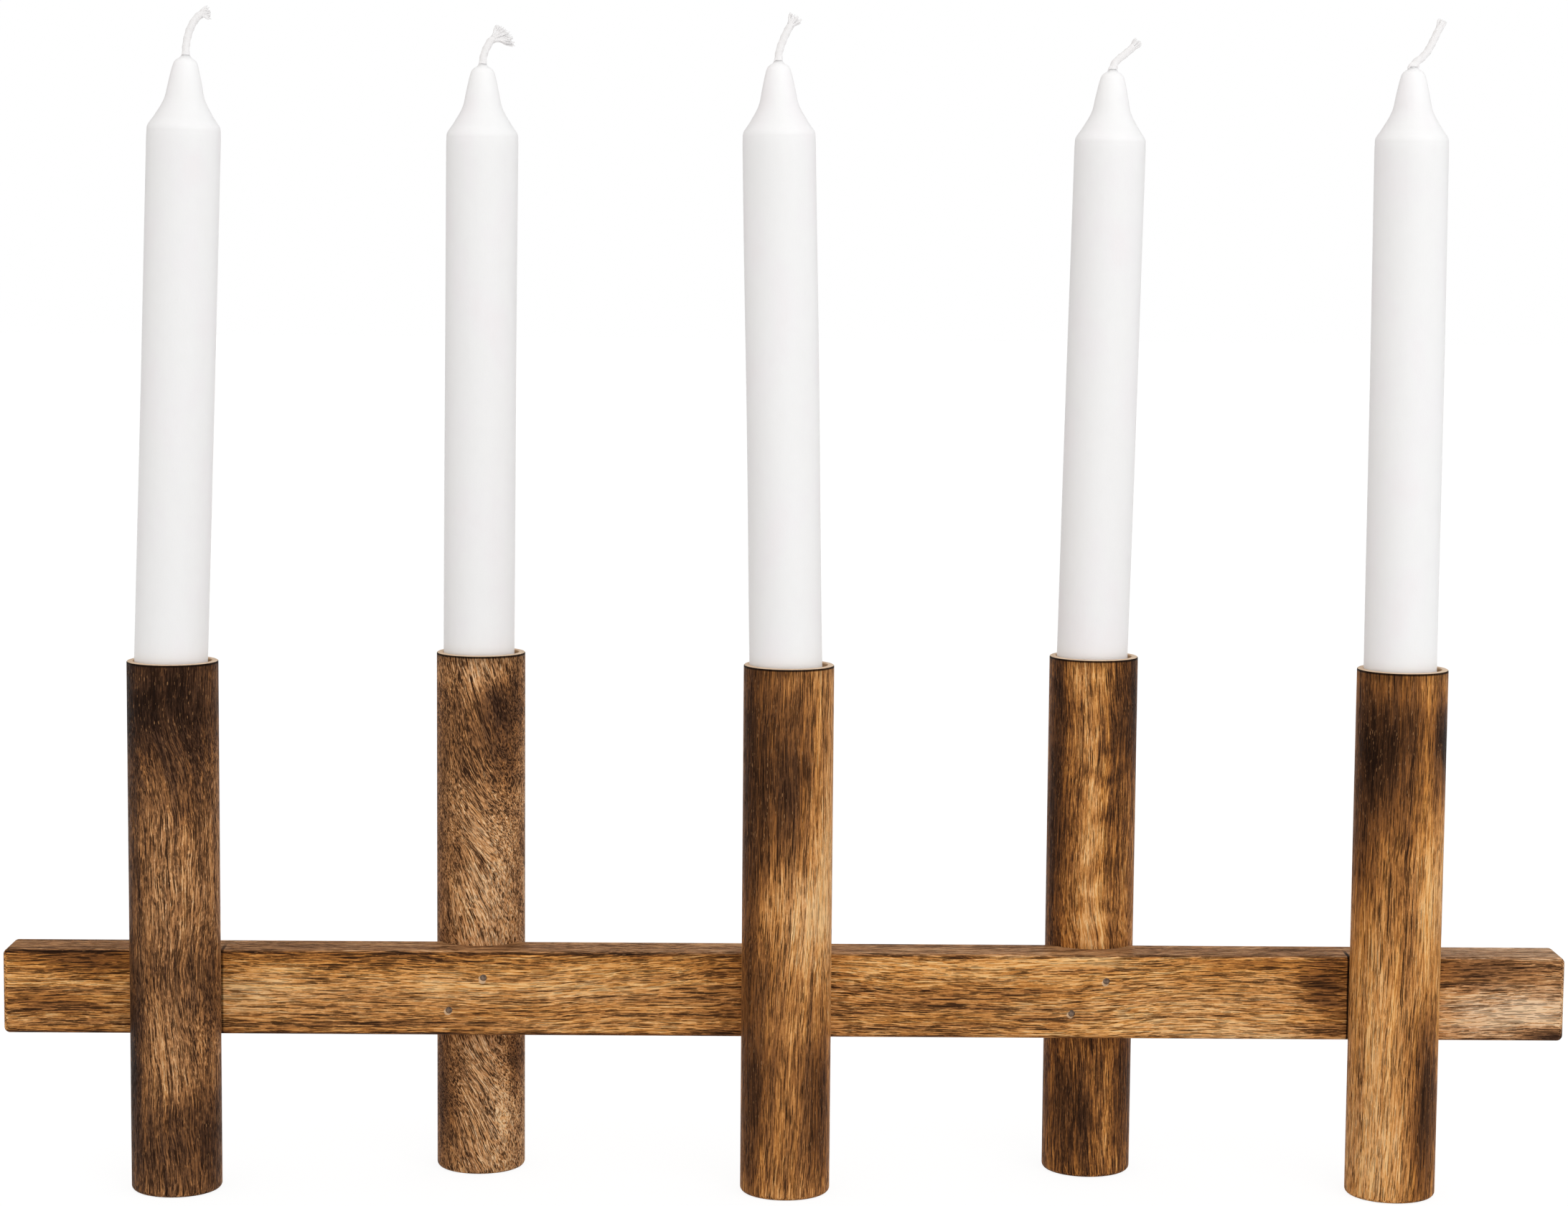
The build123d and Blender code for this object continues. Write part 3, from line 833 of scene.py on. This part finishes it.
def moulded_candle(number, material):
    """A candle turned from its outline, a little uneven as cast wax is."""
    uneven = random.Random(CANDLE_SEED + number)
    waves = []
    for _ in range(SWELL_WAVES):
        size = uneven.uniform(*SWELL_SIZES)
        lobes = uneven.choice(SWELL_LOBES)
        pitch = uneven.uniform(*SWELL_PITCHES)
        waves.append((size, lobes, pitch, uneven.uniform(0, FULL_TURN)))
    outline = candle_outline()
    seat = candle_seat(number)
    points = []
    for radius, height in outline:
        for side in range(CANDLE_SIDES):
            turn = FULL_TURN * side / CANDLE_SIDES
            swell = 0
            for size, lobes, pitch, start in waves:
                swell += size * math.sin(lobes * turn + pitch * height + start)
            out = radius + swell * min(1.0, max(0.0, radius - EVEN_RADIUS) / (CANDLE_RADIUS - EVEN_RADIUS))
            points.append(seat @ Vector((out * math.sin(turn), -out * math.cos(turn), height)))
    top = CANDLE_SIDES * (len(outline) - 1)
    faces = [tuple(reversed(range(CANDLE_SIDES))), tuple(range(top, top + CANDLE_SIDES))]
    for ring in range(len(outline) - 1):
        after = ring + 1
        for side in range(CANDLE_SIDES):
            beside = (side + 1) % CANDLE_SIDES
            faces.append((
                ring * CANDLE_SIDES + side,
                ring * CANDLE_SIDES + beside,
                after * CANDLE_SIDES + beside,
                after * CANDLE_SIDES + side,
            ))
    return mesh_piece(
        f"moulded_candle_{number}", points, faces, material,
        f"candle_body_{number}", f"candle_{number}",
    )


# Wicks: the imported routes, as shares of the free height across and up, and how each end is frayed
WICK_ROUTES = (
    ((0.0, 0.333), (0.113, 0.693), (0.307, 0.907), (0.507, 0.973)),
    ((0.0, 0.167), (0.067, 0.373), (0.200, 0.593), (0.467, 0.680)),
    ((0.0, 0.167), (0.057, 0.367), (0.200, 0.680), (0.373, 0.933)),
    ((0.0, 0.113), (0.080, 0.247), (0.280, 0.393), (0.520, 0.640)),
    ((0.0, 0.120), (0.187, 0.247), (0.333, 0.447), (0.573, 0.987)),
)
# Each wick: how far before its end it starts to fray and how far its threads pass the end, in millimetres,
# their spread to either side in degrees, how much longer they are on the low side, their number, and how
# far the wick's foot spreads on the wax
WICK_FRAYS = (
    dict(back=3.2, length=0.6, low=-34.0, high=22.0, slant=0.0, threads=34, foot=0.1),
    dict(back=3.8, length=3.8, low=-32.0, high=54.0, slant=0.5, threads=90, foot=0.2),
    dict(back=2.8, length=1.8, low=-26.0, high=28.0, slant=0.0, threads=38, foot=0.3),
    dict(back=2.4, length=1.6, low=-15.0, high=16.0, slant=0.0, threads=34, foot=0.6),
    dict(back=2.0, length=1.4, low=-15.0, high=15.0, slant=0.0, threads=30, foot=1.1),
)
# The core inside the wax: its radius, the depth at which the braid takes over, and the heights below that
WICK_CORE_RADIUS = 1.3
BRAID_DEPTH = 4.0
CORE_HEIGHTS = (0.02, 60.0, 130.0)
# The route runs straight up to this depth below the tip
STRAIGHT_DEPTH = 1.0
ROUTE_STEPS = 40
# Above the wax the core thins to this radius within this run
WAXED_RUN = 2.0
WAXED_RADIUS = 1.09
YARN_RADIUS = 0.54
YARN_SWING = 0.64
YARN_LIFT = 0.46
YARN_PITCH = 7.5
YARN_LUMPS = 9
YARN_LUMP_SHARE = 0.05
YARN_END_SHARE = 0.7
YARNS = 3
YARN_SIDES = 10
CORE_SIDES = 16
BRAID_STEP = 0.25
FOOT_START = 4.6
FOOT_HEIGHT = 1.3
WICK_SEED = 200
# Threads of a frayed end: how far their roots spread, how they turn and stray, and their length, bend
# and thickness
ROOT_STEPS = 3
THREAD_ROOT_WIDTH = 0.85
THREAD_ROOT_DEPTH = 0.6
THREAD_ROOT_TURN = 0.35
THREAD_STRAY = 7
THREAD_LIFT = 0.16
THREAD_LENGTHS = (0.72, 1.0)
THREAD_LENGTH_SHARE = 0.75
SLANT_MIDDLE = 0.4
THREAD_BEND = 0.10
THREAD_RADII = (0.27, 0.40)
THREAD_THINNING = 0.65
THREAD_SIDES = 5
THREAD_RINGS = 6
# Directions square to the plait: its face, and its edge for a tube that runs nearly along the face's direction
PLAIT_FACE = Vector((0.0, 1.0, 0.0))
PLAIT_EDGE = Vector((1.0, 0.0, 0.0))
NEARLY_ALONG = 0.2


def wick_line(number):
    """Points along a wick's smooth line in the candle's millimetres, evenly spaced from inside the wax."""
    route = [(0.0, 0.0), (0.0, CANDLE_LENGTH - STRAIGHT_DEPTH)]
    for across, up in WICK_ROUTES[number - 1]:
        route.append((across * WICK_FREE_HEIGHT, CANDLE_LENGTH + up * WICK_FREE_HEIGHT))
    curve = bpy.data.curves.new("wick_route", "CURVE")
    curve.dimensions = "3D"
    curve.resolution_u = ROUTE_STEPS
    spline = curve.splines.new("NURBS")
    spline.points.add(len(route) - 1)
    for point, (across, up) in zip(spline.points, route):
        point.co = (across, 0.0, up, 1.0)
    spline.order_u = 3
    spline.use_endpoint_u = True
    guide = bpy.data.objects.new("wick_route", curve)
    bpy.context.scene.collection.objects.link(guide)
    bpy.context.view_layer.update()
    mesh = bpy.data.meshes.new_from_object(guide)
    dense = [vertex.co.copy() for vertex in mesh.vertices]
    bpy.data.objects.remove(guide)
    bpy.data.curves.remove(curve)
    bpy.data.meshes.remove(mesh)
    runs = [0.0]
    for before, after in zip(dense, dense[1:]):
        runs.append(runs[-1] + (after - before).length)
    start = CANDLE_LENGTH - BRAID_DEPTH
    count = int((runs[-1] - start) / BRAID_STEP)
    line = []
    index = 0
    for step in range(count + 1):
        reach = start + (runs[-1] - start) * step / count
        while runs[index + 1] < reach and index < len(runs) - 2:
            index += 1
        share = (reach - runs[index]) / max(runs[index + 1] - runs[index], 1e-9)
        line.append(dense[index].lerp(dense[index + 1], share))
    return line


def tube(points, faces, line, radii, sides):
    """Adds a closed tube of the given radius at each point of a line."""
    first = len(points)
    for index, (centre, radius) in enumerate(zip(line, radii)):
        before = line[max(index - 1, 0)]
        after = line[min(index + 1, len(line) - 1)]
        heading = (after - before).normalized()
        side = heading.cross(PLAIT_FACE)
        if side.length < NEARLY_ALONG:
            side = heading.cross(PLAIT_EDGE)
        side.normalize()
        lift = side.cross(heading).normalized()
        for corner in range(sides):
            turn = FULL_TURN * corner / sides
            points.append(centre + side * (radius * math.cos(turn)) + lift * (radius * math.sin(turn)))
    for ring in range(len(line) - 1):
        low = first + ring * sides
        for corner in range(sides):
            beside = (corner + 1) % sides
            faces.append((low + corner, low + sides + corner, low + sides + beside, low + beside))
    faces.append(tuple(first + corner for corner in range(sides)))
    last = first + (len(line) - 1) * sides
    faces.append(tuple(last + corner for corner in reversed(range(sides))))


def wick_core(points, faces, line):
    """The inner strand of a wick, from the base of its candle to where it frays."""
    core = [Vector((0.0, 0.0, height)) for height in CORE_HEIGHTS] + line
    radii = [WICK_CORE_RADIUS] * len(CORE_HEIGHTS)
    for index in range(len(line)):
        above = min(1.0, max(0.0, (index * BRAID_STEP - BRAID_DEPTH) / WAXED_RUN))
        radii.append(WICK_CORE_RADIUS + (WAXED_RADIUS - WICK_CORE_RADIUS) * above)
    tube(points, faces, core, radii, CORE_SIDES)


def wick_yarn(points, faces, line, headings, yarn, foot):
    """One of the plaited yarns, spread a little where the wick leaves the wax."""
    path, radii = [], []
    for index, centre in enumerate(line):
        phase = FULL_TURN * (index * BRAID_STEP / YARN_PITCH + yarn / YARNS)
        rise = (index * BRAID_STEP - FOOT_START) / FOOT_HEIGHT
        spread = 1 + foot * math.exp(-rise * rise)
        across = YARN_SWING * spread * math.sin(phase)
        over = YARN_LIFT * math.sin(2 * phase)
        path.append(centre + headings[index].cross(PLAIT_FACE) * across + PLAIT_FACE * over)
        radii.append(YARN_RADIUS * (1 + YARN_LUMP_SHARE * math.sin(YARN_LUMPS * phase)))
    radii[-1] = YARN_RADIUS * YARN_END_SHARE
    tube(points, faces, path, radii, YARN_SIDES)


def wick_thread(points, faces, root_place, root_heading, heading, fray, share, chance):
    """One thread of the frayed end, from 0 on the low side to 1 on the high side."""
    side = heading.cross(PLAIT_FACE)
    angle = fray["low"] + (fray["high"] - fray["low"]) * share + chance.uniform(-THREAD_STRAY, THREAD_STRAY)
    spread = math.radians(angle)
    lift = chance.uniform(-THREAD_LIFT, THREAD_LIFT)
    tip_way = heading * math.cos(spread) + side * math.sin(spread) + PLAIT_FACE * lift
    depth = chance.uniform(-THREAD_ROOT_DEPTH, THREAD_ROOT_DEPTH)
    root = root_place + side * (THREAD_ROOT_WIDTH * (2 * share - 1)) + PLAIT_FACE * depth
    length = (fray["back"] + fray["length"]) * chance.uniform(*THREAD_LENGTHS) * THREAD_LENGTH_SHARE
    length *= 1 + fray["slant"] * (SLANT_MIDDLE - share)
    bend = chance.uniform(-THREAD_BEND, THREAD_BEND)
    size = chance.uniform(*THREAD_RADII)
    path, radii = [], []
    for ring in range(THREAD_RINGS + 1):
        t = ring / THREAD_RINGS
        way = root_heading.lerp(tip_way, min(1.0, THREAD_ROOT_TURN + t)).normalized()
        path.append(root + way * (length * t) + side * (bend * t * t))
        radii.append(size * (1 - THREAD_THINNING * t**3))
    tube(points, faces, path, radii, THREAD_SIDES)


def braided_wick(number, material):
    """A wick plaited from three yarns, its cut end frayed into threads."""
    chance = random.Random(WICK_SEED + number)
    fray = WICK_FRAYS[number - 1]
    line = wick_line(number)
    last = len(line) - 1
    headings = [(line[min(i + 1, last)] - line[max(i - 1, 0)]).normalized() for i in range(len(line))]
    kept = len(line) - int(fray["back"] / BRAID_STEP)
    points, faces = [], []
    wick_core(points, faces, line[:kept])
    for yarn in range(YARNS):
        wick_yarn(points, faces, line[:kept], headings, yarn, fray["foot"])
    root = kept - ROOT_STEPS
    for thread in range(fray["threads"]):
        share = (thread + 0.5) / fray["threads"]
        wick_thread(points, faces, line[root], headings[root], headings[-1], fray, share, chance)
    seat = candle_seat(number)
    return mesh_piece(
        f"braided_wick_{number}", [seat @ point for point in points], faces, material,
        f"candle_body_{number}", f"wick_{number}",
    )


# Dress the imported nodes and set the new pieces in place
dress("crossbar", bar_timber())
steel = brad_steel()
wax = candle_wax()
cotton = wick_cotton()
for number in range(1, len(POST_PLACES) + 1):
    dress(f"post_{number}", post_timber(number))
    dress(f"brads_{number}", steel)
    moulded_candle(number, wax)
    braided_wick(number, cotton)


def ray_kinds(look):
    """1 for camera, glossy and transmission rays in turn, and 0 for others."""
    rays = look.node("ShaderNodeLightPath")
    named = ("Is Camera Ray", "Is Glossy Ray", "Is Transmission Ray")
    return [Field(look, rays.outputs[name]) for name in named]


# Even light that falls on the object, what the top, right and front add to it, and what polished faces mirror:
# a dim room, and the white backdrop behind, which is brightest on the right
WHITE = (1, 1, 1, 1)
EVEN_LIGHT = 0.79
TOP_LIGHT = 0.08
RIGHT_LIGHT = 0.02
FRONT_LIGHT = 0.14
LEFT_TINT = (1.0, 0.965, 0.94, 1.0)
LEFT_TINT_RUN = (0.2, -0.9)
ROOM_GLOSS = 0.10
BACK_GLOSS = 0.90
BACKDROP_EDGE = (0.90, 0.985)
LEFT_GLOSS_SHARE = 0.3
RIGHT_GLOSS_RUN = (-0.3, 0.45)
FLOOR_REACH = 12.0
FLOOR_DROP = 0.1 * MM
FLOOR_PAPER = (0.75, 0.75, 0.75, 1.0)
FLOOR_GLOW_SHARE = 0.8
FLOOR_GLOW = 1.12
KEY_POWER = 6.7
KEY_SIZE = 1.3
KEY_PLACE = Vector((0.74, -1.42, 0.95))
LIGHT_AIM = Vector((0.0, 0.0, 0.16))


def studio_light():
    """A white room: even light all round, and what polished faces mirror of it."""
    world = bpy.data.worlds.new("studio")
    bpy.context.scene.world = world
    look = Look(world)
    way = Field(look, look.node("ShaderNodeTexCoord").outputs["Generated"])
    right, back, up = look.parts(way)
    camera, glossy, transmission = ray_kinds(look)
    seen = look.math("MINIMUM", camera + transmission, 1.0)
    ambient = right * RIGHT_LIGHT - back * FRONT_LIGHT + up * TOP_LIGHT + EVEN_LIGHT
    brighter = look.ease(right, *RIGHT_GLOSS_RUN) * (1 - LEFT_GLOSS_SHARE) + LEFT_GLOSS_SHARE
    backdrop = look.ease(back, *BACKDROP_EDGE) * brighter * BACK_GLOSS + ROOM_GLOSS
    strength = seen + (1 - seen) * (glossy * backdrop + (1 - glossy) * ambient)
    warmth = look.ease(right, *LEFT_TINT_RUN) * (1 - seen) * (1 - glossy)
    colour = look.mixed(warmth, WHITE, LEFT_TINT)
    look.output(look.node("ShaderNodeBackground", None, {"Color": colour, "Strength": strength}))


def studio_floor():
    """White paper under the object, which keeps its shadow."""
    look = new_look("studio_floor")
    paper = look.node("ShaderNodeBsdfDiffuse", None, {"Color": FLOOR_PAPER})
    glow = look.node("ShaderNodeEmission", None, {"Color": WHITE, "Strength": FLOOR_GLOW})
    camera, glossy, transmission = ray_kinds(look)
    seen = look.math("MINIMUM", camera + glossy + transmission, 1.0)
    shaders = {0: seen * FLOOR_GLOW_SHARE, 1: Field(look, paper.outputs[0]), 2: Field(look, glow.outputs[0])}
    material = look.output(look.node("ShaderNodeMixShader", None, shaders))
    signs = ((-1, -1), (1, -1), (1, 1), (-1, 1))
    corners = [(across * FLOOR_REACH, along * FLOOR_REACH, -FLOOR_DROP) for across, along in signs]
    mesh = bpy.data.meshes.new("floor")
    mesh.from_pydata(corners, [], [(0, 1, 2, 3)])
    mesh.materials.append(material)
    floor = bpy.data.objects.new("floor", mesh)
    bpy.context.scene.collection.objects.link(floor)


def key_lamp():
    """One large lamp from the front right."""
    lamp = bpy.data.lights.new("key_lamp", "AREA")
    lamp.energy = KEY_POWER
    lamp.size = KEY_SIZE
    key = bpy.data.objects.new("key_lamp", lamp)
    key.location = KEY_PLACE
    key.rotation_euler = (LIGHT_AIM - KEY_PLACE).to_track_quat("-Z", "Y").to_euler()
    bpy.context.scene.collection.objects.link(key)


# Place and angles fitted to the photograph, focal length in its pixels
CAMERA_PLACE = Vector((-14.999, -1050.786, 283.721)) * MM
CAMERA_TURN = math.radians(-0.7363)
CAMERA_PITCH = math.radians(-5.6248)
CAMERA_ROLL = math.radians(-0.4788)
CAMERA_FOCAL_PIXELS = 4787.16
IMAGE_WIDTH = 2185
SENSOR_WIDTH = 36.0


def stand_camera():
    """The camera at the photograph's place, level and angle of view."""
    data = bpy.data.cameras.new("camera")
    data.sensor_fit = "HORIZONTAL"
    data.sensor_width = SENSOR_WIDTH
    data.lens = SENSOR_WIDTH * CAMERA_FOCAL_PIXELS / IMAGE_WIDTH
    data.clip_start = 0.05
    data.clip_end = 60.0
    camera = bpy.data.objects.new("camera", data)
    turn = Matrix.Rotation(CAMERA_TURN, 4, "Z")
    pitch = Matrix.Rotation(CAMERA_PITCH, 4, "X")
    roll = Matrix.Rotation(CAMERA_ROLL, 4, "Y")
    upright = Matrix.Rotation(math.pi / 2, 4, "X")
    camera.matrix_world = Matrix.Translation(CAMERA_PLACE) @ turn @ pitch @ roll @ upright
    bpy.context.scene.collection.objects.link(camera)
    bpy.context.scene.camera = camera


studio_light()
studio_floor()
key_lamp()
stand_camera()
bpy.context.scene.view_settings.view_transform = "Standard"
